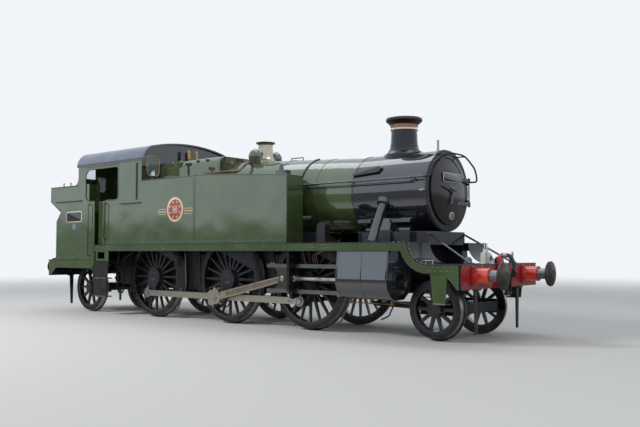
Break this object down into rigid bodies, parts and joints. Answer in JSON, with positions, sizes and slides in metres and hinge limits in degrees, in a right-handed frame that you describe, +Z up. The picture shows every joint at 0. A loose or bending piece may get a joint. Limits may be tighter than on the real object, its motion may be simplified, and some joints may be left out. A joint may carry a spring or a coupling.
{
  "type": "steam tank locomotive",
  "caption": "Steam tank locomotive with side tanks, enclosed cab, coal bunker, coupled spoked wheels, outside cylinders and rods, and a steering truck at each end.",
  "frame": {"origin": "on the centre line at mid length over the buffers, at the foot of the wheel flanges", "axes": "+X forward toward the chimney, +Y to the left, +Z up"},
  "size_m": [12.497, 2.74, 3.91],
  "materials": {
    "black": "satin black",
    "wheel_black": "gloss black",
    "tyre_steel": "worn steel",
    "green": "gloss dark green",
    "cylinder_black": "satin black",
    "beam_red": "gloss red",
    "stock_red": "gloss orange-red",
    "buffer_steel": "worn steel",
    "rod_steel": "oiled bright steel",
    "hook_steel": "dark steel",
    "copper": "polished copper",
    "brass": "polished brass",
    "roof_grey": "matt blue-grey",
    "hose_rubber": "grey rubber",
    "lamp_white": "gloss white"
  },
  "bodies": {
    "locomotive": {"main_frames": "black", "footplate": "black", "valances": "green", "buffer_beams": "beam_red", "buffer_stocks": "stock_red", "buffer_heads": "buffer_steel", "draw_hooks": "hook_steel", "cylinders": "cylinder_black", "cylinder_covers": "black", "slide_bars": "rod_steel", "motion_brackets": "black", "saddle": "black", "smokebox": "black", "chimney": "black", "chimney_cap": "copper", "boiler": "green", "firebox": "green", "ashpan": "black", "safety_valve_bonnet": "brass", "feed_covers": "green", "steam_pipes": "black", "side_tanks": "green", "cab_sides": "green", "cab_ends": "black", "cab_roof": "roof_grey", "cab_floor": "green", "bunker": "green", "splashers": "black", "steps": "black", "brake_gear": "black", "handrails": "black", "vacuum_pipes": "stock_red", "vacuum_hoses": "hose_rubber", "headlamp": "lamp_white", "backhead": "brass", "pipework": "copper", "fittings": "black"},
    "front_wheelset": {"front_tyres": "tyre_steel", "front_wheels": "wheel_black"},
    "main_wheelset": {"main_tyres": "tyre_steel", "main_wheels": "wheel_black"},
    "rear_wheelset": {"rear_tyres": "tyre_steel", "rear_wheels": "wheel_black"},
    "leading_truck": {"leading_truck": "black"},
    "leading_wheelset": {"leading_tyres": "tyre_steel", "leading_wheels": "wheel_black"},
    "trailing_truck": {"trailing_truck": "black"},
    "trailing_wheelset": {"trailing_tyres": "tyre_steel", "trailing_wheels": "wheel_black"},
    "coupling_rods_right": {"coupling_rods_right": "rod_steel"},
    "coupling_rods_left": {"coupling_rods_left": "rod_steel"},
    "crosshead_right": {"crosshead_right": "rod_steel"},
    "crosshead_left": {"crosshead_left": "rod_steel"},
    "connecting_rod_right": {"connecting_rod_right": "rod_steel"},
    "connecting_rod_left": {"connecting_rod_left": "rod_steel"},
    "smokebox_door": {"smokebox_door": "black"},
    "cab_door_right": {"cab_door_right": "green"},
    "cab_door_left": {"cab_door_left": "green"},
    "tank_lid_right": {"tank_lid_right": "green"},
    "tank_lid_left": {"tank_lid_left": "green"}
  },
  "joints": [
    {"name": "main_wheels_turn", "type": "hinge", "parent": "locomotive", "child": "main_wheelset", "pos_m": [0.1595, 0, 0.8915], "axis": [0, 1, 0], "continuous": true},
    {"name": "front_wheels_turn", "type": "hinge", "parent": "locomotive", "child": "front_wheelset", "pos_m": [2.2935, 0, 0.8915], "axis": [0, 1, 0], "continuous": true},
    {"name": "rear_wheels_turn", "type": "hinge", "parent": "locomotive", "child": "rear_wheelset", "pos_m": [-2.2025, 0, 0.8915], "axis": [0, 1, 0], "continuous": true},
    {"name": "coupling_rods_right_turn", "type": "hinge", "parent": "main_wheelset", "child": "coupling_rods_right", "pos_m": [0.02296, -0.905, 0.53581], "axis": [0, 1, 0], "continuous": true},
    {"name": "coupling_rods_left_turn", "type": "hinge", "parent": "main_wheelset", "child": "coupling_rods_left", "pos_m": [0.51519, 0.905, 0.75496], "axis": [0, 1, 0], "continuous": true},
    {"name": "leading_truck_swing", "type": "hinge", "parent": "locomotive", "child": "leading_truck", "pos_m": [3.3, 0, 0.54], "axis": [0, 0, 1], "range_deg": [-3, 3]},
    {"name": "leading_wheels_turn", "type": "hinge", "parent": "leading_truck", "child": "leading_wheelset", "pos_m": [4.9605, 0, 0.5105], "axis": [0, 1, 0], "continuous": true},
    {"name": "trailing_truck_swing", "type": "hinge", "parent": "locomotive", "child": "trailing_truck", "pos_m": [-3.1, 0, 0.6], "axis": [0, 0, -1], "range_deg": [-1.75, 1.75]},
    {"name": "trailing_wheels_turn", "type": "hinge", "parent": "trailing_truck", "child": "trailing_wheelset", "pos_m": [-4.7175, 0, 0.587], "axis": [0, 1, 0], "continuous": true},
    {"name": "crosshead_right_slide", "type": "slide", "parent": "locomotive", "child": "crosshead_right", "axis": [1, 0, 0], "range_m": [-0.1978, 0.5606]},
    {"name": "connecting_rod_right_swing", "type": "hinge", "parent": "crosshead_right", "child": "connecting_rod_right", "pos_m": [1.907, -1.041, 0.9545], "axis": [0, 1, 0], "range_deg": [-4.09, 11.17]},
    {"name": "crosshead_left_slide", "type": "slide", "parent": "locomotive", "child": "crosshead_left", "axis": [1, 0, 0], "range_m": [-0.7256, 0.0328]},
    {"name": "connecting_rod_left_swing", "type": "hinge", "parent": "crosshead_left", "child": "connecting_rod_left", "pos_m": [2.43485, 1.041, 0.9545], "axis": [0, 1, 0], "range_deg": [-0.37, 3.8]},
    {"name": "smokebox_door_swing", "type": "hinge", "parent": "locomotive", "child": "smokebox_door", "pos_m": [4.808, 0.64, 2.493], "axis": [0, 0, 1], "range_deg": [0, 100]},
    {"name": "cab_door_right_swing", "type": "hinge", "parent": "locomotive", "child": "cab_door_right", "pos_m": [-3.448, -1.291, 2.1], "axis": [0, 0, -1], "range_deg": [-15, 60]},
    {"name": "cab_door_left_swing", "type": "hinge", "parent": "locomotive", "child": "cab_door_left", "pos_m": [-3.448, 1.291, 2.1], "axis": [0, 0, 1], "range_deg": [-15, 60]},
    {"name": "tank_lid_right_swing", "type": "hinge", "parent": "locomotive", "child": "tank_lid_right", "pos_m": [-1.25, -1.278, 3.013], "axis": [1, 0, 0], "range_deg": [0, 95]},
    {"name": "tank_lid_left_swing", "type": "hinge", "parent": "locomotive", "child": "tank_lid_left", "pos_m": [-1.25, 1.278, 3.013], "axis": [-1, 0, 0], "range_deg": [0, 95]}
  ],
  "couplings": [
    {"joint": "front_wheels_turn", "follows": "main_wheels_turn", "ratio": 1},
    {"joint": "rear_wheels_turn", "follows": "main_wheels_turn", "ratio": 1},
    {"joint": "coupling_rods_right_turn", "follows": "main_wheels_turn", "ratio": -1},
    {"joint": "coupling_rods_left_turn", "follows": "main_wheels_turn", "ratio": -1},
    {"joint": "connecting_rod_right_swing", "follows": "crosshead_right_slide", "rad_per_m": 0.3402},
    {"joint": "connecting_rod_left_swing", "follows": "crosshead_left_slide", "rad_per_m": -0.0864}
  ]
}
